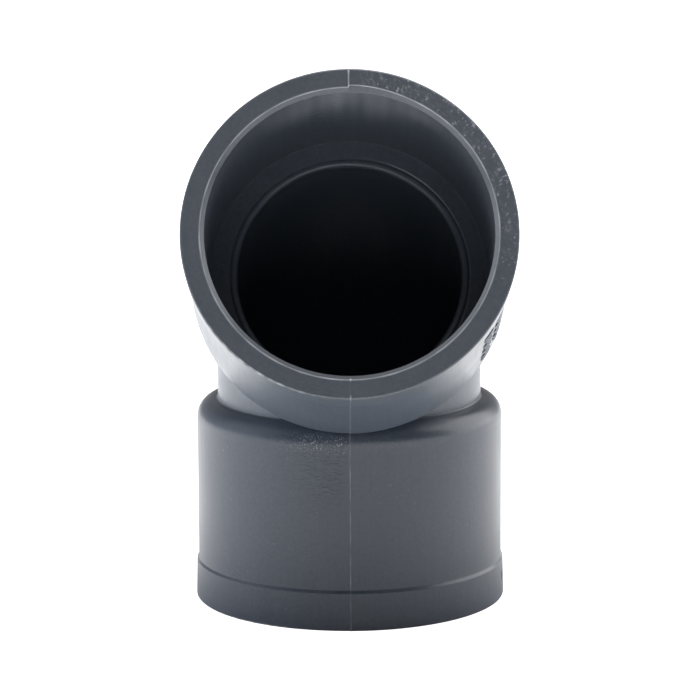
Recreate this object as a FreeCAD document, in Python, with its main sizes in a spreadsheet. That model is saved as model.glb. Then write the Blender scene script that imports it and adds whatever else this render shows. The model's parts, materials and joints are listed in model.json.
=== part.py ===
"""Plain-socket PVC-U pipe elbow, 67.5 degrees, for 50 mm solvent-weld pipe.

The fitting is one injection moulding.  It is built here as its seven named sections, which meet
face to face on flat planes square to the waterway: at each end a mouth band, a socket and a stop
ring, and between them the swept bend.

Frame: millimetres, +Z up.  The origin is the centre of the lower mouth, in the plane of its face.
The lower socket runs up +Z, the waterway then bends towards -Y, and the plane X = 0 is the mould's
parting plane.
"""
import FreeCAD, Part
import math
import os

import Sketcher

SHEET = "Dimensions"

# Driving dimensions, in millimetres and degrees, with what each one is.
DIMENSIONS = [
    ("band_diameter", 58.6, "outside of the thicker band, at the mouth"),
    ("band_top_diameter", 58.3, "outside of the band where its slope starts"),
    ("band_height", 6.8, "mouth to where the band starts to slope in"),
    ("band_slope", 1.2, "height of the slope between the band and the socket"),
    ("barrel_diameter", 57.6, "outside of the socket"),
    ("barrel_height", 34.15, "mouth to where the shoulder starts to round over"),
    ("socket_diameter", 50.2, "inside of the socket, for 50.0 mm pipe"),
    ("socket_depth", 33.0, "mouth to pipe stop"),
    ("lead_in_width", 0.7, "chamfer at the mouth, measured across the face"),
    ("lead_in_depth", 0.5, "chamfer at the mouth, measured into the socket"),
    ("mouth_round", 0.4, "radius on the outer edge of the mouth face"),
    ("neck_diameter", 49.7, "outside of the bend"),
    ("bore_diameter", 41.0, "waterway through the stops and the bend"),
    ("lip_round", 1.0, "radius where the pipe stop turns into the waterway"),
    ("mouth_to_corner", 56.0, "mouth to where the two axes cross"),
    ("bend_angle", 67.5, "angle the flow is turned through"),
]

# The same distances as expressions, for sketches whose X is the radius and whose Y is the height.
BAND = f"{SHEET}.band_diameter / 2"
BARREL = f"{SHEET}.barrel_diameter / 2"
SOCKET = f"{SHEET}.socket_diameter / 2"
NECK = f"{SHEET}.neck_diameter / 2"
BORE = f"{SHEET}.bore_diameter / 2"
BAND_TOP = f"{SHEET}.band_top_diameter / 2"
BAND_HEIGHT = f"{SHEET}.band_height"
BAND_END = f"{BAND_HEIGHT} + {SHEET}.band_slope"
LEAD_IN_WIDTH = f"{SHEET}.lead_in_width"
LEAD_IN_DEPTH = f"{SHEET}.lead_in_depth"
MOUTH_ROUND = f"{SHEET}.mouth_round"
LIP_ROUND = f"{SHEET}.lip_round"
STOP = f"{SHEET}.socket_depth"
SHOULDER = f"{SHEET}.barrel_height"
NECK_START = f"{SHOULDER} + {BARREL} - {NECK}"
BEND_RADIUS = f"({SHEET}.mouth_to_corner - ({NECK_START})) / tan({SHEET}.bend_angle * 1 deg / 2)"


def make_sheet(doc):
    """Write the driving dimensions, one row each: name, value, meaning."""
    sheet = doc.addObject("Spreadsheet::Sheet", SHEET)
    for row, (alias, value, meaning) in enumerate(DIMENSIONS, start=1):
        sheet.set(f"A{row}", alias)
        sheet.set(f"B{row}", str(value))
        sheet.set(f"C{row}", meaning)
        sheet.setAlias(f"B{row}", alias)
    doc.recompute()
    return sheet


def number(sheet, expression):
    """Value of one of the expressions above, in millimetres."""
    value = sheet.evalExpression(expression)
    return float(getattr(value, "Value", value))


def origin_plane(body, role):
    """A body's own origin plane, found by its role."""
    return next(item for item in body.Origin.OriginFeatures if item.Role == role)


def new_sketch(body, name, role):
    """An empty sketch on one of the body's own origin planes."""
    sketch = body.newObject("Sketcher::SketchObject", name)
    sketch.AttachmentSupport = (origin_plane(body, role), [""])
    sketch.MapMode = "FlatFace"
    return sketch


def pin_coordinate(sketch, kind, geometry, point, expression):
    """Fix one coordinate of a sketch point, to an axis or by a length bound to the sheet."""
    axis_vertical = -2
    axis_horizontal = -1
    if expression == "0":
        axis = axis_vertical if kind == "DistanceX" else axis_horizontal
        sketch.addConstraint(Sketcher.Constraint("PointOnObject", geometry, point, axis))
        return
    place = sketch.getPoint(geometry, point)
    start = place.x if kind == "DistanceX" else place.y
    index = sketch.addConstraint(Sketcher.Constraint(kind, -1, 1, geometry, point, start))
    sketch.setExpression(f"Constraints[{index}]", expression)


def draw_profile(sheet, sketch, corners):
    """Draw a closed outline and bind every corner to the sheet.

    Each corner is (x, y) or (x, y, centre_x, centre_y): the second form is reached from the corner
    before it by a quarter circle about that centre.
    """
    places = [FreeCAD.Vector(number(sheet, c[0]), number(sheet, c[1]), 0) for c in corners]
    for index, corner in enumerate(corners):
        start = places[index - 1]
        end = places[index]
        if len(corner) == 2:
            sketch.addGeometry(Part.LineSegment(start, end), False)
            continue
        centre = FreeCAD.Vector(number(sheet, corner[2]), number(sheet, corner[3]), 0)
        radius = (start - centre).Length
        halfway = centre + ((start - centre) + (end - centre)).normalize() * radius
        sketch.addGeometry(Part.Arc(start, halfway, end), False)
    ends = [end_points(sketch, index, places) for index in range(len(corners))]
    for index, corner in enumerate(corners):
        after = (index + 1) % len(corners)
        joint = Sketcher.Constraint("Coincident", index, ends[index][1], after, ends[after][0])
        sketch.addConstraint(joint)
        pin_coordinate(sketch, "DistanceX", index, ends[index][1], corner[0])
        pin_coordinate(sketch, "DistanceY", index, ends[index][1], corner[1])
    for index, corner in enumerate(corners):
        if len(corner) == 4:
            pin_coordinate(sketch, "DistanceX", index, 3, corner[2])


def end_points(sketch, index, places):
    """Point numbers at the start and the end of one edge; an arc may run the other way round."""
    first = sketch.getPoint(index, 1)
    return (1, 2) if first.distanceToPoint(places[index - 1]) < 1e-6 else (2, 1)


def revolve(body, sketch, name):
    """Turn a sketch once round its vertical axis."""
    turn = body.newObject("PartDesign::Revolution", name)
    turn.Profile = sketch
    turn.ReferenceAxis = (sketch, ["V_Axis"])
    turn.Angle = 360.0
    body.Tip = turn
    return turn


def place_at_end(body, end):
    """Put a section at its end of the fitting.  Each is drawn with its mouth at Z = 0, facing down."""
    if end == "lower":
        return
    corner = f"{SHEET}.mouth_to_corner"
    turn = f"{SHEET}.bend_angle * 1 deg"
    body.Placement = FreeCAD.Placement(FreeCAD.Vector(0, 0, 0), FreeCAD.Vector(1, 0, 0), -90)
    body.setExpression("Placement.Rotation.Angle", f"{SHEET}.bend_angle * 1 deg - 180 deg")
    body.setExpression("Placement.Base.y", f"-{corner} * sin({turn}) * 1 mm")
    body.setExpression("Placement.Base.z", f"{corner} * (1 + cos({turn})) * 1 mm")


def ring_section(doc, sheet, end, suffix, corners):
    """One ring-shaped section: its half outline turned about the socket's axis."""
    body = doc.addObject("PartDesign::Body", f"{end}_{suffix}")
    body.Label = f"{end}_{suffix}"
    sketch = new_sketch(body, f"{end}_{suffix}_outline", "XZ_Plane")
    draw_profile(sheet, sketch, corners)
    revolve(body, sketch, f"{end}_{suffix}_turned")
    place_at_end(body, end)
    return body


def make_mouth_band(doc, sheet, end):
    """The thicker band at a mouth: flat face, rounded outer edge, slope to the socket, lead-in chamfer."""
    corners = [
        (f"{SOCKET} + {LEAD_IN_WIDTH}", "0"),
        (f"{BAND} - {MOUTH_ROUND}", "0"),
        (BAND, MOUTH_ROUND, f"{BAND} - {MOUTH_ROUND}", MOUTH_ROUND),
        (BAND_TOP, BAND_HEIGHT),
        (BARREL, BAND_END),
        (SOCKET, BAND_END),
        (SOCKET, LEAD_IN_DEPTH),
    ]
    return ring_section(doc, sheet, end, "mouth_band", corners)


def make_socket(doc, sheet, end):
    """The plain socket wall that grips the pipe, from the band to the pipe stop."""
    corners = [
        (SOCKET, BAND_END),
        (BARREL, BAND_END),
        (BARREL, STOP),
        (SOCKET, STOP),
    ]
    return ring_section(doc, sheet, end, "socket", corners)


def make_stop_ring(doc, sheet, end):
    """The end wall: pipe stop inside, with a rounded lip, and the rounded shoulder outside."""
    corners = [
        (f"{BORE} + {LIP_ROUND}", STOP, f"{BORE} + {LIP_ROUND}", f"{STOP} + {LIP_ROUND}"),
        (BARREL, STOP),
        (BARREL, SHOULDER),
        (NECK, NECK_START, NECK, SHOULDER),
        (BORE, NECK_START),
        (BORE, f"{STOP} + {LIP_ROUND}"),
    ]
    return ring_section(doc, sheet, end, "stop_ring", corners)


def make_bend(doc, sheet):
    """The bend: a ring of neck wall swung through the bend angle about an axis along X."""
    body = doc.addObject("PartDesign::Body", "bend")
    body.Label = "bend"
    sketch = new_sketch(body, "bend_section", "XY_Plane")
    sketch.setExpression("AttachmentOffset.Base.z", f"({NECK_START}) * 1 mm")
    for radius in (NECK, BORE):
        circle = Part.Circle(FreeCAD.Vector(0, 0, 0), FreeCAD.Vector(0, 0, 1), number(sheet, radius))
        index = sketch.addGeometry(circle, False)
        sketch.addConstraint(Sketcher.Constraint("Coincident", index, 3, -1, 1))
        size = sketch.addConstraint(Sketcher.Constraint("Radius", index, number(sheet, radius)))
        sketch.setExpression(f"Constraints[{size}]", radius)
    reach = number(sheet, BEND_RADIUS)
    half = number(sheet, NECK)
    hinge_line = Part.LineSegment(FreeCAD.Vector(-half, -reach, 0), FreeCAD.Vector(half, -reach, 0))
    index = sketch.addGeometry(hinge_line, True)
    sketch.addConstraint(Sketcher.Constraint("Symmetric", index, 1, index, 2, -2))
    width = sketch.addConstraint(Sketcher.Constraint("DistanceX", index, 1, index, 2, 2 * half))
    sketch.setExpression(f"Constraints[{width}]", f"2 * ({NECK})")
    drop = sketch.addConstraint(Sketcher.Constraint("DistanceY", index, 1, -1, 1, reach))
    sketch.setExpression(f"Constraints[{drop}]", BEND_RADIUS)
    swing = body.newObject("PartDesign::Revolution", "bend_swung")
    swing.Profile = sketch
    swing.ReferenceAxis = (sketch, ["Axis0"])
    swing.setExpression("Angle", f"{SHEET}.bend_angle * 1 deg")
    body.Tip = swing
    return body


def check_document(doc, sections):
    """Stop unless every object computed and every section is one valid closed solid."""
    for item in doc.Objects:
        bad = [word for word in item.State if word in ("Invalid", "Error")]
        if bad:
            raise RuntimeError(f"{item.Name} is {bad}")
    for body in sections:
        shape = body.Shape
        if shape.isNull() or not shape.isValid() or len(shape.Solids) != 1:
            raise RuntimeError(f"{body.Label} is not one valid solid")


def check_bend(sheet, bend):
    """Compare the bend with Pappus' rule and see that it reaches the upper stop ring's plane."""
    ring_area = math.pi * (number(sheet, NECK) ** 2 - number(sheet, BORE) ** 2)
    angle = math.radians(number(sheet, f"{SHEET}.bend_angle"))
    expected = ring_area * number(sheet, BEND_RADIUS) * angle
    if abs(bend.Shape.Volume / expected - 1) > 1e-6:
        raise RuntimeError("the bend's volume is wrong")
    if bend.Shape.BoundBox.YMin > -number(sheet, NECK):
        raise RuntimeError("the bend turns the wrong way")


def main():
    doc = FreeCAD.newDocument("Elbow")
    sheet = make_sheet(doc)
    sections = []
    for end in ("lower", "upper"):
        sections.append(make_mouth_band(doc, sheet, end))
        sections.append(make_socket(doc, sheet, end))
        sections.append(make_stop_ring(doc, sheet, end))
    bend = make_bend(doc, sheet)
    sections.append(bend)
    doc.recompute()
    check_document(doc, sections)
    check_bend(sheet, bend)
    os.makedirs("parts", exist_ok=True)
    for body in sections:
        body.Shape.exportStep(f"parts/{body.Label}.step")
        box = body.Shape.BoundBox
        print(f"{body.Label}: {body.Shape.Volume:.1f} mm3, Y {box.YMin:.2f} to {box.YMax:.2f}, "
              f"Z {box.ZMin:.2f} to {box.ZMax:.2f}")


main()
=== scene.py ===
"""Plain-socket PVC-U pipe elbow, 67.5 degrees: the finished look of the moulding.

Everything is in metres, in the part's own frame: +Z up the lower socket, the upper mouth towards -Y, and
X = 0 the plane where the two mould halves meet.  Each section of the moulding is one closed surface,
worked out from its outline and the fitting's own dimensions.
"""
import json
import math

import bmesh
import bpy
import numpy as np
from mathutils import Matrix, Vector


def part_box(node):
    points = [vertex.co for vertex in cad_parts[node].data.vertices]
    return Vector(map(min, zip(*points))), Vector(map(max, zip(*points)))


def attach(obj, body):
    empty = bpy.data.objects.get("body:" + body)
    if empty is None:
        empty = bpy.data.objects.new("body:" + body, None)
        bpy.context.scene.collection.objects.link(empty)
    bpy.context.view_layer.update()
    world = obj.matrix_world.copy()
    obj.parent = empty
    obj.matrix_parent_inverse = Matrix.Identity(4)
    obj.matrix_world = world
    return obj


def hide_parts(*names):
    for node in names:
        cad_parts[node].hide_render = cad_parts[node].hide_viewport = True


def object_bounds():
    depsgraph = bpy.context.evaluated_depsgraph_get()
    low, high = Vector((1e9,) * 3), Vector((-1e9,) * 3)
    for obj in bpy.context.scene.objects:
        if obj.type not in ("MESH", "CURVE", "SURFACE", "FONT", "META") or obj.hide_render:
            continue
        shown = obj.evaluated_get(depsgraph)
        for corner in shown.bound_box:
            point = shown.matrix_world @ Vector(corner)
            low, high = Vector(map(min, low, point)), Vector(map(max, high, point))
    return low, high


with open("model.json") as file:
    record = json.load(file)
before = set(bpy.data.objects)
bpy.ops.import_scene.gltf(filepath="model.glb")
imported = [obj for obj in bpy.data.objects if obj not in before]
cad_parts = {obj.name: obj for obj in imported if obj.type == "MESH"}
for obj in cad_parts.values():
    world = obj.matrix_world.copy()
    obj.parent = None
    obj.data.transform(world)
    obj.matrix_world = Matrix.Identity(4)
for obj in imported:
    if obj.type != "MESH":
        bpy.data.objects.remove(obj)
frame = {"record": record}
cad_low, cad_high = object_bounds()

MM = 0.001

# ---------------------------------------------------------------- dimensions, from the frame
MOUNTS = {mount["name"]: mount for mount in frame["record"]["mounts"]}
BAND_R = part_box("lower_mouth_band")[1].x
BAND_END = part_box("lower_mouth_band")[1].z
BARREL_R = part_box("lower_socket")[1].x
STOP_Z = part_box("lower_socket")[1].z
NECK_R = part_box("bend")[1].x
NECK_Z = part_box("lower_stop_ring")[1].z
SOCKET_R = MOUNTS["upper_socket"]["dims"]["r_mm"] * MM
UPPER_MOUTH = np.array(MOUNTS["upper_socket"]["pos_m"])
UPPER_OUT = np.array(MOUNTS["upper_socket"]["axis"])
BEND_ANGLE = math.acos(UPPER_OUT[2])
CORNER_Z = -UPPER_MOUTH[1] / math.sin(BEND_ANGLE)
BEND_RADIUS = (CORNER_Z - NECK_Z) / math.tan(BEND_ANGLE / 2)
SHOULDER_ROUND = BARREL_R - NECK_R

# the rest of the outline, at the sizes that the part has
BORE_R = 20.5 * MM
LEAD_IN_DEPTH = 0.5 * MM
FACE_INNER_R = SOCKET_R + 0.7 * MM
BAND_TOP_R = 29.15 * MM
BAND_HEIGHT = 6.8 * MM
LEDGE_STARTS = BAND_HEIGHT + 0.25 * MM
LEDGE_ENDS = BAND_END - 0.45 * MM

# ---------------------------------------------------------------- rounds
FACE_EDGE_ROUND = 0.05 * MM
RIM_ROUND = 0.38 * MM
LEDGE_TOP_ROUND = 0.22 * MM
LEDGE_FOOT_ROUND = 0.35 * MM
LEAD_IN_ROUND = 0.10 * MM
STOP_ROOT_ROUND = 0.16 * MM
LIP_ROUND = 1.2 * MM
# the stop's lip and the shoulder stand out from plain quarter circles by up to these
LIP_SHARPER = 0.46 * MM
LIP_SHARPER_LOST = 0.55
SHOULDER_FULLER = 0.33 * MM
SHOULDER_FLAT = 0.12 * MM
FLARE_ROUND = 0.45 * MM

# ---------------------------------------------------------------- marks that moulding leaves
FLASH_HEIGHT = 0.07 * MM
FLASH_WIDTH = 0.15 * MM
HALF_STEP = 0.012 * MM
NUB_HEIGHT = 0.16 * MM
NUB_WIDTH = 0.22 * MM
BURR_HEIGHT = 0.09 * MM
BURR_WIDTH = 0.17 * MM
BURR_FROM_EDGE = 0.05 * MM
# the lower mouth's nubs and burr stand this share as high, worn down because it stands on them
LOWER_WEAR = 0.2
# step in the face's inner edge where the mould halves meet at the heel
EDGE_SHIFT = 0.42 * MM
EDGE_SHIFT_REACH = 1.5 * MM
GROOVE_R = BORE_R + LIP_ROUND + 0.2 * MM
GROOVE_WIDTH = 0.16 * MM
GROOVE_DEPTH = 0.14 * MM
DENT_ANGLE = math.radians(-9.5)
DENT_AT = 4.0 * MM
DENT_ROUND_REACH = 0.42 * MM
DENT_ALONG_REACH = 0.7 * MM
DENT_DEPTH = 0.6 * MM
# how whitened the flash is along the walls, against 1 for fully stretched plastic
SKIN_PALE = 0.42


def end_axes(end):
    """Origin, sideways, heelward and inward unit directions of a socket, mouth at its origin."""
    side = np.array([1.0, 0.0, 0.0])
    if end == "lower":
        return np.zeros(3), side, np.array([0.0, 1.0, 0.0]), np.array([0.0, 0.0, 1.0])
    heel = np.array([0.0, UPPER_OUT[2], -UPPER_OUT[1]])
    return UPPER_MOUTH, side, heel, -UPPER_OUT


# ---------------------------------------------------------------- grids
ARC_STEP = 5.0
EVEN_COLUMNS = 480
SEAM_REACH = 0.03
SEAM_COLUMNS = 49
SCUFF_FROM = math.radians(-28)
SCUFF_TO = math.radians(86)
SCUFF_COLUMNS = 300
SCUFF_MARGIN = 0.05
# spacing of the points across a mouth face
FACE_STEP = {"upper": 0.072 * MM, "lower": 0.2 * MM}
SHARP_ANGLE = math.radians(32)
DENT_COLUMNS = (math.radians(-13), math.radians(-6), 40)


def columns(extra=None):
    """Angles round a section, from the +X side towards the heel: evenly spaced, with close-set ones
    across the parting plane at plus and minus a quarter turn, and a finer stretch where one is asked."""
    even = np.linspace(-math.pi, math.pi, EVEN_COLUMNS, endpoint=False)
    close = np.linspace(-SEAM_REACH, SEAM_REACH, SEAM_COLUMNS)
    keep = np.ones(len(even), bool)
    added = []
    for seam in (-math.pi / 2, math.pi / 2):
        keep &= np.abs(even - seam) > SEAM_REACH * 1.1
        added.append(seam + close)
    if extra is not None:
        low, high, count = extra
        keep &= (even < low) | (even > high)
        added.append(np.linspace(low, high, count))
    return np.sort(np.concatenate([even[keep]] + added))


def rounded_outline(corners):
    """Closed outline through corners of (radius, height, corner radius, spacing of the run after it),
    counter-clockwise in the half plane.  A corner with a radius becomes the arc tangent to its two
    sides, which starts radius / tan(half the corner's angle) from the corner; runs are divided evenly."""
    points = np.array([c[:2] for c in corners])
    radii = np.array([c[2] for c in corners])
    before = np.roll(points, 1, axis=0) - points
    after = np.roll(points, -1, axis=0) - points
    before /= np.linalg.norm(before, axis=1)[:, None]
    after /= np.linalg.norm(after, axis=1)[:, None]
    half = np.arccos(np.clip((before * after).sum(1), -1, 1)) / 2
    setback = radii / np.tan(half)
    outline = []
    for k in range(len(corners)):
        start = points[k] + before[k] * setback[k]
        end = points[k] + after[k] * setback[k]
        if radii[k] > 0:
            inward = before[k] + after[k]
            inward /= np.linalg.norm(inward)
            centre = points[k] + inward * radii[k] / math.sin(half[k])
            turn = math.pi - 2 * half[k]
            count = max(4, int(math.degrees(turn) // ARC_STEP) + 1)
            share = np.linspace(0, 1, count)[:, None]
            a, b = start - centre, end - centre
            arc = (np.sin((1 - share) * turn) * a + np.sin(share * turn) * b) / math.sin(turn)
            outline.append(centre + arc)
        else:
            outline.append(points[k][None, :])
        nxt = (k + 1) % len(corners)
        run_end = points[nxt] + before[nxt] * setback[nxt]
        length = np.linalg.norm(run_end - end)
        count = int(length // corners[k][3])
        if count > 0:
            share = np.arange(1, count + 1)[:, None] / (count + 1)
            outline.append(end + (run_end - end) * share)
    return np.concatenate(outline)


def outline_normals(outline):
    """Outward normals of a counter-clockwise closed outline: its central differences, turned clockwise.
    Where the outer skin runs on into the next section, the normal is square to the socket's axis, so
    that both sections leave their outlines alike and no crack opens between them."""
    along = np.roll(outline, -1, axis=0) - np.roll(outline, 1, axis=0)
    along /= np.linalg.norm(along, axis=1)[:, None]
    normals = np.stack([along[:, 1], -along[:, 0]], axis=1)
    shared = np.isclose(outline[:, 1], BAND_END) | np.isclose(outline[:, 1], STOP_Z)
    normals[shared & (outline[:, 0] > BARREL_R - 0.01 * MM)] = (1.0, 0.0)
    return normals


def mesh_piece(name, grid, flip, pale, worn=None):
    """One closed mesh, and its object, from a grid that wraps round both ways.  Its faces look outward;
    flip turns them over for the upper socket, where the grid runs the other way."""
    rows, cols = grid.shape[:2]
    i, j = np.meshgrid(np.arange(rows), np.arange(cols), indexing="ij")
    i2, j2 = (i + 1) % rows, (j + 1) % cols
    quads = np.stack([i * cols + j, i * cols + j2, i2 * cols + j2, i2 * cols + j], axis=-1).reshape(-1, 4)
    if flip:
        quads = quads[:, ::-1]
    mesh = bpy.data.meshes.new(name)
    mesh.vertices.add(rows * cols)
    mesh.vertices.foreach_set("co", grid.reshape(-1).astype(np.float32))
    mesh.loops.add(quads.size)
    mesh.loops.foreach_set("vertex_index", quads.reshape(-1).astype(np.int32))
    mesh.polygons.add(len(quads))
    mesh.polygons.foreach_set("loop_start", np.arange(0, quads.size, 4, dtype=np.int32))
    mesh.update(calc_edges=True)
    mesh.validate()
    mesh.shade_smooth()
    mesh.set_sharp_from_angle(angle=SHARP_ANGLE)
    for mark, values in (("pale", pale), ("worn", worn)):
        if values is not None:
            layer = mesh.attributes.new(mark, "FLOAT", "POINT")
            layer.data.foreach_set("value", values.reshape(-1).astype(np.float32))
    piece = bpy.data.objects.new(name, mesh)
    bpy.context.scene.collection.objects.link(piece)
    return piece


# ---------------------------------------------------------------- how the outer skin leaves its outline
def right_half(x):
    """0 in the mould half on the -X side, 1 in the other, turning over within the parting line."""
    return 0.5 + 0.5 * np.tanh(x / (0.6 * FLASH_WIDTH))


def flash(x, run):
    """Height of the flash along the parting plane: a bell curve across it, beaded along its run."""
    beads = 0.72 + 0.2 * np.sin(run / (0.31 * MM)) * np.sin(run / (1.13 * MM) + 0.6)
    beads = beads + 0.16 * np.sin(run / (0.47 * MM) + 2.0)
    return FLASH_HEIGHT * beads * np.exp(-((x / FLASH_WIDTH) ** 2))


def flash_pale(x, run):
    """How whitened the stretched plastic of the flash is: a narrow bell curve, stronger at the beads."""
    beads = 0.72 + 0.28 * np.sin(run / (0.9 * MM)) * np.sin(run / (2.3 * MM) + 1.1)
    return beads * np.exp(-((x / FLASH_WIDTH) ** 2))


def sink(angle, run):
    """Slow hollows and swells of a cooled moulding: three low waves round it and along it."""
    first = 0.010 * np.sin(3 * angle + run / (13 * MM) + 0.7)
    second = 0.007 * np.sin(7 * angle - run / (8.1 * MM) + 2.1)
    third = 0.004 * np.sin(12 * angle + run / (5.2 * MM) + 0.4)
    return MM * (first + second + third)


def skin_lift(x, angle, run):
    """How far the outer skin stands off its outline: flash, step between the halves, and sink."""
    return flash(x, run) + HALF_STEP * right_half(x) + sink(angle, run)


def ring_grid(end, outline, lift, phi, spread=0.0):
    """Points of a ring section: its outline, moved along its normals by lift and outward by spread,
    turned about the socket axis.  A point is
    origin + height * inward + radius * (cos(angle) * side + sin(angle) * heel)."""
    origin, side, heel, inward = end_axes(end)
    normals = outline_normals(outline)
    radius = outline[:, 0, None] + normals[:, 0, None] * lift + spread
    height = outline[:, 1, None] + normals[:, 1, None] * lift
    round_way = np.cos(phi)[:, None] * side + np.sin(phi)[:, None] * heel
    return origin + height[..., None] * inward + radius[..., None] * round_way[None, :, :]


def polar(outline, phi):
    """Distance from the parting plane, angle, and run along the skin, for every point of a ring grid."""
    x = outline[:, 0, None] * np.cos(phi)[None, :]
    run = (outline[:, 0] + outline[:, 1])[:, None]
    return np.broadcast_arrays(x, phi[None, :], run)


# smudges, partly painted highlight, on the upper socket's inner wall: angle in radians, depth in mm, and
# reach each way
DRAG_SMUDGES = (
    (1.98, 8.0, 0.20, 6.0),
    (1.66, 5.0, 0.12, 6.0),
    (1.32, 9.0, 0.16, 7.0),
    (1.02, 5.0, 0.13, 4.0),
)
INNER_WALL_PAINTED_HIGHLIGHT = 0.36
INNER_WALL_PAINTED_HIGHLIGHT_ROUND = 0.75
INNER_WALL_PAINTED_HIGHLIGHT_DEPTH = 24 * MM
SMUDGE_PALE = 0.14
SMUDGE_SLANT = 0.005


def inner_wall_smudges_and_painted_highlight(angle, depth):
    """Paler marks on the upper socket's inner wall: a broad bell curve under the heel that dies away with
    depth, a painted highlight of the light falling in at the mouth, plus the smudges, each a bell curve
    both ways, all times a slow product of two sines round the wall, which streaks it along the draw."""
    streaks = 0.85 + 0.15 * np.sin(41 * angle) * np.sin(17 * angle + 2)
    # painted highlight: light falling in at the mouth, brightest under the heel and fading with depth
    from_heel = (angle - math.pi / 2) / INNER_WALL_PAINTED_HIGHLIGHT_ROUND
    total = INNER_WALL_PAINTED_HIGHLIGHT * np.exp(-(from_heel ** 2) - (depth / INNER_WALL_PAINTED_HIGHLIGHT_DEPTH) ** 2)
    for round_at, deep_at, round_reach, deep_reach in DRAG_SMUDGES:
        deeper = depth / MM - deep_at
        further_round = angle - round_at - SMUDGE_SLANT * deeper
        bell = np.exp(-((further_round / round_reach) ** 2) - (deeper / deep_reach) ** 2)
        total = total + SMUDGE_PALE * bell
    return total * streaks


def fade(value, start, end):
    """0 before start, 1 after end, and smooth between."""
    share = np.clip((value - start) / (end - start), 0, 1)
    return share * share * (3 - 2 * share)


# ---------------------------------------------------------------- the sections
SCUFF_COUNT = 520
SCUFF_SEED = 11
SCUFF_DEPTH = 0.045 * MM
SCUFF_PALE = 0.68


def scuffs(outline, phi, on_face):
    """Tool chatter on a mouth face, as a depth of about 1, or less than 0 where it is raised: many
    short dents, each a bell curve across and along its own slanting line, on the +X side of the face."""
    draw = np.random.default_rng(SCUFF_SEED)
    share = draw.beta(1.6, 1.3, SCUFF_COUNT)
    centre_angle = SCUFF_FROM + (SCUFF_TO - SCUFF_FROM) * share
    centre_radius = FACE_INNER_R + (BAND_R - FACE_INNER_R) * draw.uniform(0.12, 0.97, SCUFF_COUNT)
    slant = draw.normal(1.1, 0.45, SCUFF_COUNT)
    length = draw.uniform(0.14, 0.46, SCUFF_COUNT) * MM
    width = draw.uniform(0.09, 0.14, SCUFF_COUNT) * MM
    depth = draw.uniform(0.15, 1.0, SCUFF_COUNT) ** 1.5 * draw.choice([1.0, 1.0, -0.6], SCUFF_COUNT)
    chosen = (phi > SCUFF_FROM - SCUFF_MARGIN) & (phi < SCUFF_TO + SCUFF_MARGIN)
    rows = np.flatnonzero(on_face)
    cols = np.flatnonzero(chosen)
    across = outline[rows, 0][:, None, None] - centre_radius
    along = centre_radius * (phi[cols][None, :, None] - centre_angle)
    u = along * np.cos(slant) + across * np.sin(slant)
    v = across * np.cos(slant) - along * np.sin(slant)
    dents = (depth * np.exp(-((u / length) ** 2) - ((v / width) ** 2))).sum(axis=2)
    result = np.zeros((len(outline), len(phi)))
    result[np.ix_(rows, cols)] = np.clip(dents, -1, 1.2)
    return result


def mouth_band_outline(end):
    """Outline of a mouth band: flat face, rounded rim, slight taper, ledge down to the socket's wall,
    the plane shared with the socket, and the lead-in chamfer inside."""
    return rounded_outline([
        (FACE_INNER_R, 0.0, FACE_EDGE_ROUND, FACE_STEP[end]),
        (BAND_R, 0.0, RIM_ROUND, 0.4 * MM),
        (BAND_TOP_R, LEDGE_STARTS, LEDGE_TOP_ROUND, 0.1 * MM),
        (BARREL_R + 0.02 * MM, LEDGE_ENDS, LEDGE_FOOT_ROUND, 0.2 * MM),
        (BARREL_R, BAND_END, 0.0, 2.0 * MM),
        (SOCKET_R, BAND_END, 0.0, 0.9 * MM),
        (SOCKET_R, LEAD_IN_DEPTH, LEAD_IN_ROUND, 0.15 * MM),
    ])


def face_nubs(x, from_edge):
    """Height of the two nubs where the flash meets the face's inner edge: round bell curves."""
    return NUB_HEIGHT * np.exp(-(x**2 + from_edge**2) / NUB_WIDTH**2)


def face_burr(angle, from_edge):
    """Height of the burr along the face's inner edge: a bell curve across it, slowly uneven round it."""
    ridge = BURR_HEIGHT * np.exp(-(((from_edge - BURR_FROM_EDGE) / BURR_WIDTH) ** 2))
    return ridge * (0.8 + 0.2 * np.sin(23 * angle) * np.sin(9 * angle + 1))


def edge_shift(x, angle, from_edge):
    """How far the face's inner edge is out of line in the +X half near the heel, which leaves a step at
    the parting line: the shift, a bell curve round the mouth, and the share of it that each point of
    the outline takes, which falls off evenly both ways from the edge."""
    bell = np.exp(-(((angle - math.pi / 2) / 0.33) ** 2))
    over_lead_in = 1 + from_edge / (FACE_INNER_R - SOCKET_R)
    reach = np.where(from_edge > 0, 1 - from_edge / EDGE_SHIFT_REACH, over_lead_in)
    return EDGE_SHIFT * right_half(x) * bell, np.clip(reach, 0, 1)


def rim_pale_and_painted_highlight(angle):
    """Whitening of the rounded rim: stretched on the +X side near the heel, and broken streaks low on the
    -X side, partly rubbed wear and partly a painted highlight along the rim's edge."""
    stretched_rim = 0.95 * np.exp(-(((angle - 1.3) / 0.8) ** 2))
    streaks = 0.6 + 0.4 * np.sin(70 * angle) * np.sin(23 * angle)
    # low on the -X side: partly rubbed wear, partly a painted highlight along the rim's edge
    rubbed = streaks * np.exp(-(((angle + 2.2) / 0.42) ** 2))
    return np.maximum(stretched_rim, 0.8 * rubbed)


def band_dent(radius, angle, height):
    """Depth of the one small knock on the lower band: a bell curve round the band and along it."""
    across = np.exp(-((radius * (angle - DENT_ANGLE) / DENT_ROUND_REACH) ** 2))
    return DENT_DEPTH * (across * np.exp(-(((height - DENT_AT) / DENT_ALONG_REACH) ** 2)))


def chatter_share(angle):
    """1 over the stretch of the face that the tool chattered on, fading out at both ends."""
    rises = fade(angle, SCUFF_FROM, SCUFF_FROM + 0.5)
    return rises * fade(-angle, -SCUFF_TO - 0.04, -SCUFF_TO + 0.04)


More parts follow.
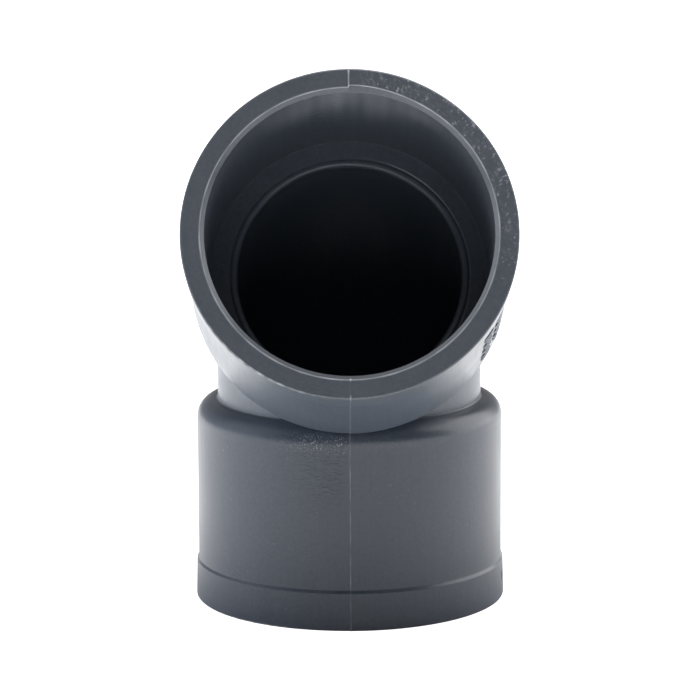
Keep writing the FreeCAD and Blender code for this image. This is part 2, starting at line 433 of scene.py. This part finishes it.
def build_mouth_band(end):
    """The thicker band round a mouth.  Its face carries the flash, two nubs and a burr, lower ones at
    the lower mouth.  The upper face also has tool chatter, and the lower band one dent."""
    outline = mouth_band_outline(end)
    phi = columns((SCUFF_FROM, SCUFF_TO, SCUFF_COLUMNS) if end == "upper" else DENT_COLUMNS)
    x, angle, run = polar(outline, phi)
    normals = outline_normals(outline)
    radius, height = outline[:, 0, None], outline[:, 1, None]
    from_edge = radius - FACE_INNER_R
    on_face = (normals[:, 1] < -0.9) & (outline[:, 0] > FACE_INNER_R - 0.02 * MM)
    face = on_face[:, None]
    outer = radius > BARREL_R - 0.3 * MM
    rim = ((normals[:, 1] < -0.2) & (normals[:, 0] > 0.2))[:, None]
    lead_in_painted_light = (normals[:, 1, None] < -0.3) & (radius < FACE_INNER_R) & (radius > SOCKET_R)
    nub, burr = face_nubs(x, from_edge), face_burr(angle, from_edge)
    shift, share = edge_shift(x, angle, from_edge)
    spread = shift * ((face | (height < LEAD_IN_DEPTH)) * share)
    lift = skin_lift(x, angle, run) * (face | outer)
    lift = lift + (1.0 if end == "upper" else LOWER_WEAR) * (nub + burr) * face
    face_pale = 0.75 + 0.45 * np.sign(angle)
    most_stretched = 0.7 + 0.3 * np.exp(-(((angle - 1.15) / 0.75) ** 2))
    pale = (SKIN_PALE * outer + face_pale * face) * flash_pale(x, run)
    pale = np.maximum(pale, 1.35 * most_stretched * burr / BURR_HEIGHT * face)
    pale = np.maximum(pale, 1.3 * nub / NUB_HEIGHT * face)
    # the rim's broken streaks low on the -X side are partly rubbed wear, partly a painted highlight along
    # its edge
    pale = np.maximum(pale, rim_pale_and_painted_highlight(angle) * rim)
    # painted light: the lead-in chamfer is paler away from the heel side, at the bottom and sides, where
    # more light falls on it
    pale = np.maximum(pale, 0.36 * lead_in_painted_light * fade(0.75 - np.sin(angle), 0, 0.75))
    worn = np.zeros(x.shape)
    if end == "upper":
        scuff = scuffs(outline, phi, on_face)
        lift = lift - SCUFF_DEPTH * scuff * face
        pale = np.maximum(pale, SCUFF_PALE * np.abs(scuff))
        # painted highlight and smudges on the inner wall near the upper mouth
        pale = np.maximum(pale, inner_wall_smudges_and_painted_highlight(angle, height) * (radius < SOCKET_R + 0.02 * MM))
        worn = chatter_share(angle) * face
    else:
        lift = lift - band_dent(radius, angle, height) * outer
    grid = ring_grid(end, outline, lift, phi, spread)
    return mesh_piece(f"{end}_mouth_band", grid, end == "upper", pale, worn)


def build_socket(end):
    """The plain wall between the band and the pipe stop, parallel inside and out, with a small root
    round against the stop: the quarter circle's distance from its tangent."""
    outline = rounded_outline([
        (SOCKET_R, BAND_END, 0.0, 1.2 * MM),
        (BARREL_R, BAND_END, 0.0, 0.4 * MM),
        (BARREL_R, STOP_Z, 0.0, 1.2 * MM),
        (SOCKET_R, STOP_Z, 0.0, 0.06 * MM),
        (SOCKET_R, STOP_Z - 0.6 * MM, 0.0, 0.9 * MM),
    ])
    phi = columns()
    x, angle, run = polar(outline, phi)
    radius, height = outline[:, 0, None], outline[:, 1, None]
    outer = radius > BARREL_R - 0.01 * MM
    inner = radius < SOCKET_R + 0.01 * MM
    to_stop = (STOP_Z - height) / STOP_ROOT_ROUND
    along_arc = np.clip(1 - to_stop, 0, 1)
    root = STOP_ROOT_ROUND * (1 - np.sqrt(np.clip(1 - along_arc**2, 0, 1))) * inner
    grid = ring_grid(end, outline, skin_lift(x, angle, run) * outer + root, phi)
    pale = SKIN_PALE * flash_pale(x, run) * outer + 0.45 * (to_stop < 1.0) * inner
    if end == "upper":
        # painted highlight and smudges on the upper socket's inner wall
        pale = pale + inner_wall_smudges_and_painted_highlight(angle, height) * inner * (to_stop > 1.0)
    return mesh_piece(f"{end}_socket", grid, end == "upper", pale)


def build_stop_ring(end):
    """The end wall of a socket: pipe stop with a rounded lip and, on the +X side, a faint groove, and
    a rounded shoulder outside.  Lip and shoulder are quarter circles moved out along their normals by
    sin(2 * the normal's slope): the lip mostly on the -X side, the shoulder less in the -X half."""
    outline = rounded_outline([
        (BORE_R, STOP_Z, LIP_ROUND, 0.1 * MM),
        (SOCKET_R, STOP_Z, 0.0, 1.2 * MM),
        (BARREL_R, STOP_Z, 0.0, 0.2 * MM),
        (BARREL_R, NECK_Z, SHOULDER_ROUND * 0.999, 0.2 * MM),
        (NECK_R, NECK_Z, 0.0, 1.2 * MM),
        (BORE_R, NECK_Z, 0.0, 0.8 * MM),
    ])
    phi = columns()
    x, angle, run = polar(outline, phi)
    normals = outline_normals(outline)
    radius, height = outline[:, 0, None], outline[:, 1, None]
    outer = (radius > NECK_R + 0.02 * MM) & (height > STOP_Z + 0.001 * MM)
    outer |= radius > BARREL_R - 0.001 * MM
    slope = np.clip(2 * normals[:, 0, None] * normals[:, 1, None], 0, 1)
    lift = skin_lift(x, angle, run) * outer
    lift = lift + (SHOULDER_FULLER - SHOULDER_FLAT * (1 - right_half(x))) * slope * outer
    on_lip = radius < BORE_R + LIP_ROUND
    lost = LIP_SHARPER_LOST * fade(np.cos(angle), 0.5, 0.95)
    lift = lift + LIP_SHARPER * (slope * on_lip) * (1 - lost)
    on_stop = (normals[:, 1, None] < -0.9) & (radius < SOCKET_R)
    groove = np.exp(-(((radius - GROOVE_R) / GROOVE_WIDTH) ** 2)) * on_stop
    lift = lift - GROOVE_DEPTH * groove * fade(np.cos(angle), -0.1, 0.6)
    grid = ring_grid(end, outline, lift, phi)
    pale = SKIN_PALE * flash_pale(x, run) * outer
    return mesh_piece(f"{end}_stop_ring", grid, end == "upper", pale)


FLARE_RUN = FLARE_ROUND * 1.2
FLARE_STEPS = 9
BEND_STEPS = 70


def build_bend():
    """The swept neck.  Its centreline is an arc in the plane X = 0 about a line along X; a point is
    the arc's point + radius * (cos(angle) * side + sin(angle) * heelward), and the outer radius
    flares by a quarter circle where it meets each shoulder."""
    phi = columns()
    total = BEND_RADIUS * BEND_ANGLE
    along_outer = np.concatenate([
        np.linspace(0, FLARE_RUN, FLARE_STEPS)[:-1],
        np.linspace(FLARE_RUN, total - FLARE_RUN, BEND_STEPS),
        np.linspace(total - FLARE_RUN, total, FLARE_STEPS)[1:],
    ])
    along_inner = np.linspace(total, 0, BEND_STEPS)
    along = np.concatenate([along_outer, along_inner])
    outer = np.arange(len(along)) < len(along_outer)
    into_flare = np.maximum(FLARE_ROUND - np.minimum(along_outer, total - along_outer), 0)
    flare = FLARE_ROUND - np.sqrt(np.maximum(FLARE_ROUND**2 - into_flare**2, 0))
    base = np.where(outer, NECK_R, BORE_R)
    base[outer] += flare
    turn = (along / BEND_RADIUS)[:, None]
    x, angle, run = np.broadcast_arrays(base[:, None] * np.cos(phi), phi[None, :], along[:, None])
    radius = base[:, None] + skin_lift(x, angle, run) * outer[:, None]
    centre_y = -BEND_RADIUS + BEND_RADIUS * np.cos(turn)
    centre_z = NECK_Z + BEND_RADIUS * np.sin(turn)
    outward = radius * np.sin(angle)
    grid = np.stack([
        radius * np.cos(angle),
        centre_y + outward * np.cos(turn),
        centre_z + outward * np.sin(turn),
    ], axis=-1)
    return mesh_piece("bend", grid, False, SKIN_PALE * flash_pale(x, run) * outer[:, None])


# ---------------------------------------------------------------- raised bars on the upper socket
BAR_HEIGHT = 0.34 * MM
BAR_ROOT = 0.25 * MM
BAR_SUNK = 0.02 * MM
BAR_WIDTH = 0.95 * MM
BAR_STEPS = 15
# rows: angle in degrees, number of bars, first bar's distance from the mouth and the pitch, in mm
BAR_ROWS = ((-25.0, 10, 9.6, 2.2), (-32.5, 9, 11.8, 2.2))
# lengths round the socket, in mm, taken in turn along each row
BAR_LENGTHS = (3.0, 3.0, 1.8, 3.0, 2.2, 3.0, 1.8)


def bar_grid(angle, height, length):
    """One raised bar: a pad whose rise is (1 - u^8)(1 - v^8) over its square of parameters, wrapped
    round the socket, closed below by the same square sunk into the wall."""
    u = np.sin(np.linspace(-1, 1, BAR_STEPS) * math.pi / 2)
    uu, vv = np.meshgrid(u, u, indexing="ij")
    rise = (1 - uu**8) * (1 - vv**8)
    origin, side, heel, inward = end_axes("upper")
    phi = angle + uu * length / 2 / BARREL_R
    z = height + vv * BAR_WIDTH / 2
    way = np.cos(phi)[..., None] * side + np.sin(phi)[..., None] * heel
    sheets = []
    for stand in (BAR_HEIGHT, -BAR_ROOT):
        radius = BARREL_R + stand * rise - BAR_SUNK
        sheets.append(origin + z[..., None] * inward + radius[..., None] * way)
    return sheets


def build_bars():
    """All the raised bars as one piece: two rows of plain bars of unequal length, with no lettering."""
    points, faces = [], []
    i, j = np.meshgrid(np.arange(BAR_STEPS - 1), np.arange(BAR_STEPS - 1), indexing="ij")
    corner = i * BAR_STEPS + j
    square = np.stack([corner, corner + 1, corner + BAR_STEPS + 1, corner + BAR_STEPS], -1).reshape(-1, 4)
    sheet_size = BAR_STEPS * BAR_STEPS
    count = 0
    for row_angle, number, first, pitch in BAR_ROWS:
        for k in range(number):
            length = BAR_LENGTHS[k % len(BAR_LENGTHS)] * MM
            top, bottom = bar_grid(math.radians(row_angle), (first + k * pitch) * MM, length)
            points += [top.reshape(-1, 3), bottom.reshape(-1, 3)]
            faces += [square + count, square[:, ::-1] + count + sheet_size]
            count += 2 * sheet_size
    mesh = bpy.data.meshes.new("raised_bars")
    mesh.from_pydata(np.concatenate(points).tolist(), [], np.concatenate(faces).tolist())
    mesh.update()
    piece = bpy.data.objects.new("raised_bars", mesh)
    bpy.context.scene.collection.objects.link(piece)
    weld_doubles(piece)
    return piece


def weld_doubles(piece):
    """Merge the rims of each bar's two sheets and turn every face outward."""
    work = bmesh.new()
    work.from_mesh(piece.data)
    bmesh.ops.remove_doubles(work, verts=work.verts, dist=1e-7)
    bmesh.ops.recalc_face_normals(work, faces=work.faces)
    work.to_mesh(piece.data)
    work.free()
    piece.data.shade_smooth()


# ---------------------------------------------------------------- materials
def new_material(name):
    """An empty node material: its tree, its shader and its Object coordinates."""
    material = bpy.data.materials.new(name)
    material.use_nodes = True
    tree = material.node_tree
    shader = tree.nodes["Principled BSDF"]
    coordinates = tree.nodes.new("ShaderNodeTexCoord")
    return material, tree, shader, coordinates.outputs["Object"]


def noise(tree, vector, scale, detail=2.0, roughness=0.5):
    """A noise texture's grey output."""
    node = tree.nodes.new("ShaderNodeTexNoise")
    node.inputs["Scale"].default_value = scale
    node.inputs["Detail"].default_value = detail
    node.inputs["Roughness"].default_value = roughness
    tree.links.new(vector, node.inputs["Vector"])
    return node.outputs["Fac"]


def stretched(tree, vector, scale, turn=(0.0, 0.0, 0.0), shift=(0.0, 0.0, 0.0)):
    """Coordinates scaled, turned and shifted by a Mapping node."""
    node = tree.nodes.new("ShaderNodeMapping")
    node.inputs["Scale"].default_value = scale
    node.inputs["Rotation"].default_value = turn
    node.inputs["Location"].default_value = shift
    tree.links.new(vector, node.inputs["Vector"])
    return node.outputs["Vector"]


def ranged(tree, value, low, high, out_low, out_high):
    """A value mapped from one range to another, held at both ends."""
    node = tree.nodes.new("ShaderNodeMapRange")
    for name, number in (("From Min", low), ("From Max", high), ("To Min", out_low), ("To Max", out_high)):
        node.inputs[name].default_value = number
    tree.links.new(value, node.inputs["Value"])
    return node.outputs["Result"]


def maths(tree, operation, first, second):
    """One Math node; each input is a socket or a number."""
    node = tree.nodes.new("ShaderNodeMath")
    node.operation = operation
    for k, item in enumerate((first, second)):
        if isinstance(item, (int, float)):
            node.inputs[k].default_value = item
        else:
            tree.links.new(item, node.inputs[k])
    return node.outputs["Value"]


def product(tree, first, *others):
    """Product of a socket and more sockets or numbers."""
    for other in others:
        first = maths(tree, "MULTIPLY", first, other)
    return first


def weighted(tree, *pairs):
    """Sum of sockets, each times its own number."""
    total = None
    for socket, weight in pairs:
        share = maths(tree, "MULTIPLY", socket, weight)
        total = share if total is None else maths(tree, "ADD", total, share)
    return total


def blended(tree, factor, first, second):
    """Mix of two colours or colour sockets."""
    node = tree.nodes.new("ShaderNodeMix")
    node.data_type = "RGBA"
    tree.links.new(factor, node.inputs[0])
    for k, item in ((6, first), (7, second)):
        if isinstance(item, tuple):
            node.inputs[k].default_value = item
        else:
            tree.links.new(item, node.inputs[k])
    return node.outputs[2]


def point_value(tree, name):
    """A number that the piece carries at each of its points."""
    node = tree.nodes.new("ShaderNodeAttribute")
    node.attribute_name = name
    return node.outputs["Fac"]


# each grey is the dark and the light end of its mottling
LOWER_GREY = ((0.029, 0.038, 0.056, 1.0), (0.041, 0.051, 0.071, 1.0))
# the upper greys are lighter copies of the same PVC as the lower one: painted light on the upper arm and
# its mouth band, for the light that falls on them
UPPER_GREY_PAINTED_LIGHTER = ((0.058, 0.072, 0.094, 1.0), (0.077, 0.092, 0.117, 1.0))
UPPER_FACE_GREY_PAINTED_LIGHTER = ((0.069, 0.080, 0.098, 1.0), (0.086, 0.098, 0.119, 1.0))
WHITENED_AND_PAINTED_LIGHT = (0.50, 0.53, 0.57, 1.0)
BUMP_STRENGTH = 0.55
BUMP_DISTANCE = 0.03 * MM
PVC_IOR = 1.53


def front_patches(tree, place):
    """Two masks on the front of the moulding, just to the -X side of the parting plane: the band of
    heights where pale specks crowd on the lower shoulder, and the scaly skin, which starts on the
    lower wall and has no upper end, so it shows on the front of the upper socket too."""
    parts = tree.nodes.new("ShaderNodeSeparateXYZ")
    tree.links.new(place, parts.inputs["Vector"])
    x, y, z = (parts.outputs[axis] for axis in "XYZ")
    beside = product(tree, ranged(tree, x, -15 * MM, -6 * MM, 0.0, 1.0),
                     ranged(tree, x, -1.5 * MM, 0.0, 1.0, 0.15))
    front = ranged(tree, y, -10 * MM, -20 * MM, 0.0, 1.0)
    shoulder = product(tree, ranged(tree, z, 32.6 * MM, 34.6 * MM, 0.0, 1.0),
                       ranged(tree, z, 35.5 * MM, 37.5 * MM, 1.0, 0.0), front)
    wall = product(tree, ranged(tree, z, 17 * MM, 27 * MM, 0.0, 1.0), front)
    return product(tree, beside, shoulder), product(tree, wall, beside)


def tool_chatter(tree, place):
    """Fine slanting torn marks, crowded in clumps, where the piece says that its face is worn."""
    slanted = stretched(tree, place, (1.0, 1.0, 1.0), (0.0, math.radians(35), 0.0))
    torn = noise(tree, stretched(tree, slanted, (2400.0, 900.0, 800.0)), 1.0, 3.0, 0.65)
    clumps = ranged(tree, noise(tree, place, 260.0, 1.0), 0.40, 0.60, 0.25, 1.0)
    return product(tree, ranged(tree, torn, 0.50, 0.72, 0.0, 1.0), point_value(tree, "worn"), clumps)


def grey_pvc(name, tones, lean):
    """Satin blue-grey PVC-U: slow mottling, ejection drag along the wall (which leans by lean), orange
    peel, a few pale specks all over, the specks and scaly skin of the front patches, tool chatter, and
    whitened plastic on flash, burrs and scuffs. The same pale mark also carries painted light: a paler
    lead-in chamfer away from the heel, and painted highlights on the rim's edge and the upper socket's
    inner wall."""
    dark, light = tones
    material, tree, shader, place = new_material(name)
    mottle = noise(tree, place, 90.0, 3.0)
    along = stretched(tree, place, (1.0, 1.0, 1.0), (lean, 0.0, 0.0))
    drag = noise(tree, stretched(tree, along, (1100.0, 1100.0, 45.0)), 1.0, 2.0)
    grain = noise(tree, place, 1700.0, 2.0, 0.6)
    tone = weighted(tree, (mottle, 0.3), (drag, 0.2), (grain, 0.5))
    colour = blended(tree, ranged(tree, tone, 0.38, 0.62, 0.0, 1.0), dark, light)

    crowded, scaly_place = front_patches(tree, place)
    few = product(tree, ranged(tree, noise(tree, place, 2600.0, 1.0), 0.70, 0.78, 0.0, 1.0),
                  ranged(tree, noise(tree, place, 160.0, 2.0), 0.5, 0.62, 0.0, 0.15))
    many = product(tree, ranged(tree, noise(tree, place, 3700.0, 1.0), 0.57, 0.68, 0.0, 1.0), crowded)
    scales = noise(tree, stretched(tree, place, (900.0, 900.0, 1900.0)), 1.0, 2.0, 0.6)
    scaly = product(tree, ranged(tree, scales, 0.42, 0.62, 0.0, 1.0), scaly_place)
    chatter = tool_chatter(tree, place)
    colour = blended(tree, product(tree, scaly, 0.75), colour, dark)
    colour = blended(tree, maths(tree, "MAXIMUM", few, product(tree, many, 0.36)), colour, WHITENED_AND_PAINTED_LIGHT)
    # the pale mark is whitened plastic and also painted light: paler lead-in chamfer, rim-edge and
    # inner-wall highlights
    whitened = ranged(tree, point_value(tree, "pale"), 0.15, 1.2, 0.0, 0.9)
    colour = blended(tree, whitened, colour, WHITENED_AND_PAINTED_LIGHT)
    colour = blended(tree, product(tree, chatter, 0.18), colour, WHITENED_AND_PAINTED_LIGHT)
    tree.links.new(colour, shader.inputs["Base Color"])

    gloss = weighted(tree, (mottle, 0.6), (drag, 0.4))
    tree.links.new(ranged(tree, gloss, 0.3, 0.7, 0.28, 0.38), shader.inputs["Roughness"])
    peel = noise(tree, place, 1300.0, 2.0)
    fine = noise(tree, place, 4200.0, 2.0)
    relief = weighted(tree, (peel, 0.7), (fine, 0.3), (many, -0.5), (chatter, 1.6), (scaly, -1.8))
    bump = tree.nodes.new("ShaderNodeBump")
    bump.inputs["Strength"].default_value = BUMP_STRENGTH
    bump.inputs["Distance"].default_value = BUMP_DISTANCE
    tree.links.new(relief, bump.inputs["Height"])
    tree.links.new(bump.outputs["Normal"], shader.inputs["Normal"])
    shader.inputs["IOR"].default_value = PVC_IOR
    return material


# ---------------------------------------------------------------- camera, floor and light
CAMERA_DISTANCE = 628.5 * MM
CAMERA_AZIMUTH = math.radians(-0.267)
CAMERA_ELEVATION = math.radians(10.88)
CAMERA_ROLL = math.radians(-0.289)
CAMERA_LENS = 171.0
SENSOR_WIDTH = 36.0
AIM_ASIDE = 0.2 * MM
AIM_HEIGHT_SHARE = 0.449


def make_camera():
    """A long lens a little above the object, facing its front, aimed just under half of its height."""
    data = bpy.data.cameras.new("camera")
    data.lens = CAMERA_LENS
    data.sensor_width = SENSOR_WIDTH
    data.clip_end = 20.0
    camera = bpy.data.objects.new("camera", data)
    bpy.context.scene.collection.objects.link(camera)
    level = math.cos(CAMERA_ELEVATION)
    back = Vector((
        math.sin(CAMERA_AZIMUTH) * level,
        -math.cos(CAMERA_AZIMUTH) * level,
        math.sin(CAMERA_ELEVATION),
    ))
    right = Vector((0, 0, 1)).cross(back).normalized()
    up = back.cross(right)
    turned_right = right * math.cos(CAMERA_ROLL) + up * math.sin(CAMERA_ROLL)
    turned_up = up * math.cos(CAMERA_ROLL) - right * math.sin(CAMERA_ROLL)
    aim = Vector((AIM_ASIDE, 0.0, cad_low.z + AIM_HEIGHT_SHARE * (cad_high.z - cad_low.z)))
    matrix = Matrix((turned_right, turned_up, back)).transposed().to_4x4()
    matrix.translation = aim + back * CAMERA_DISTANCE
    camera.matrix_world = matrix
    bpy.context.scene.camera = camera


FLOOR_REACH = 6.0
FLOOR_Z = -0.05 * MM
FLOOR_GREY = (0.9, 0.9, 0.9, 1.0)
FLOOR_SEEN = (0.87, 0.87, 0.87, 1.0)
GLOW_SHIFT = (0.0, 13 * MM, 0.0)
GLOW_SQUASH = (1.15, 0.88, 1.0)
GLOW_STARTS = 29 * MM
GLOW_FULL = 97 * MM
GLOW_STRENGTH = 1.22


def make_floor():
    """A plain pale floor, wide enough to fill the view, that glows like a light table.  The camera sees
    it evenly pale, but the light it gives the object grows from none underneath to full further out."""
    mesh = bpy.data.meshes.new("floor")
    far = FLOOR_REACH
    corners = [(-far, -far, FLOOR_Z), (far, -far, FLOOR_Z), (far, far, FLOOR_Z), (-far, far, FLOOR_Z)]
    mesh.from_pydata(corners, [], [(0, 1, 2, 3)])
    floor = bpy.data.objects.new("floor", mesh)
    bpy.context.scene.collection.objects.link(floor)
    material, tree, shader, place = new_material("pale_floor")
    shader.inputs["Base Color"].default_value = FLOOR_GREY
    shader.inputs["Roughness"].default_value = 0.9
    centred = stretched(tree, place, GLOW_SQUASH, shift=GLOW_SHIFT)
    distance = tree.nodes.new("ShaderNodeVectorMath")
    distance.operation = "LENGTH"
    tree.links.new(centred, distance.inputs[0])
    away = ranged(tree, distance.outputs["Value"], GLOW_STARTS, GLOW_FULL, 0.0, 1.0)
    glow = blended(tree, away, (0.0, 0.0, 0.0, 1.0), (1.0, 1.0, 1.0, 1.0))
    ray = tree.nodes.new("ShaderNodeLightPath")
    glow = blended(tree, ray.outputs["Is Camera Ray"], glow, FLOOR_SEEN)
    tree.links.new(glow, shader.inputs["Emission Color"])
    shader.inputs["Emission Strength"].default_value = GLOW_STRENGTH
    mesh.materials.append(material)


LIGHT_AIM = Vector((0.0, 0.0, 0.05))
# soft lights: name, place, size in metres, power in watts
SOFT_LIGHTS = (
    ("right_softbox", (0.85, 0.3, 0.42), (1.1, 1.0), 9.8),
    ("top_softbox", (0.0, -0.35, 1.2), (1.2, 0.9), 4.0),
    ("left_fill", (-0.8, 0.0, 0.55), (0.9, 0.7), 1.0),
    ("left_strip", (-0.9, 0.08, 0.18), (0.9, 0.3), 10.3),
)
UNMIRRORED_LIGHT = "left_strip"
SWEEP_DIM = 0.08
SWEEP_BRIGHT = 0.45


def area_light(name, place, size, power):
    """A soft rectangular light at a place, facing the object."""
    data = bpy.data.lights.new(name, "AREA")
    data.shape = "RECTANGLE"
    data.size, data.size_y = size
    data.energy = power
    light = bpy.data.objects.new(name, data)
    bpy.context.scene.collection.objects.link(light)
    light.location = place
    light.rotation_euler = (LIGHT_AIM - Vector(place)).to_track_quat("-Z", "Y").to_euler()
    light.visible_glossy = name != UNMIRRORED_LIGHT


def make_room():
    """A dim room with a pale sweep behind the object, whose glow dies away upwards and towards the
    front."""
    world = bpy.data.worlds.new("studio")
    bpy.context.scene.world = world
    world.use_nodes = True
    tree = world.node_tree
    room = tree.nodes["Background"]
    room.inputs["Color"].default_value = (1, 1, 1, 1)
    coordinates = tree.nodes.new("ShaderNodeTexCoord")
    way = tree.nodes.new("ShaderNodeSeparateXYZ")
    tree.links.new(coordinates.outputs["Generated"], way.inputs["Vector"])
    sweep = product(tree, ranged(tree, way.outputs["Y"], -0.3, 0.5, 0.0, 1.0),
                    ranged(tree, way.outputs["Z"], 0.15, 0.65, 1.0, 0.0))
    strength = ranged(tree, sweep, 0.0, 1.0, SWEEP_DIM, SWEEP_BRIGHT)
    tree.links.new(strength, room.inputs["Strength"])


def make_lights():
    """Plain soft studio light: soft boxes at both sides and above.  The low strip on the left lights
    the skin but leaves no reflection of its own in it."""
    for name, place, size, power in SOFT_LIGHTS:
        area_light(name, place, size, power)


SECTIONS = (("mouth_band", build_mouth_band), ("socket", build_socket), ("stop_ring", build_stop_ring))


def build_moulding():
    """Every section of the moulding, with its grey, and the section of the part that it replaces."""
    lean = math.pi - BEND_ANGLE
    # painted light: the upper arm and its mouth band take lighter copies of the one grey PVC, for the
    # light that falls on them
    lower = grey_pvc("grey_pvc_lower", LOWER_GREY, 0.0)
    upper = grey_pvc("grey_pvc_upper", UPPER_GREY_PAINTED_LIGHTER, lean)
    upper_mouth = grey_pvc("grey_pvc_upper_mouth", UPPER_FACE_GREY_PAINTED_LIGHTER, lean)
    greys = {"lower": lower, "upper": upper}
    pieces = []
    for end in ("lower", "upper"):
        for section, build in SECTIONS:
            grey = upper_mouth if (end, section) == ("upper", "mouth_band") else greys[end]
            pieces.append((build(end), f"{end}_{section}", grey))
    pieces.append((build_bend(), "bend", upper))
    for piece, node, grey in pieces:
        piece.data.materials.append(grey)
        piece.name = f"{node}_skin"
        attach(piece, "root")
        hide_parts(node)
    bars = build_bars()
    bars.data.materials.append(upper)
    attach(bars, "root")


def main():
    """The camera, the studio round the object, and the object."""
    make_camera()
    make_floor()
    make_room()
    make_lights()
    build_moulding()
    bpy.context.scene.view_settings.view_transform = "Standard"


main()
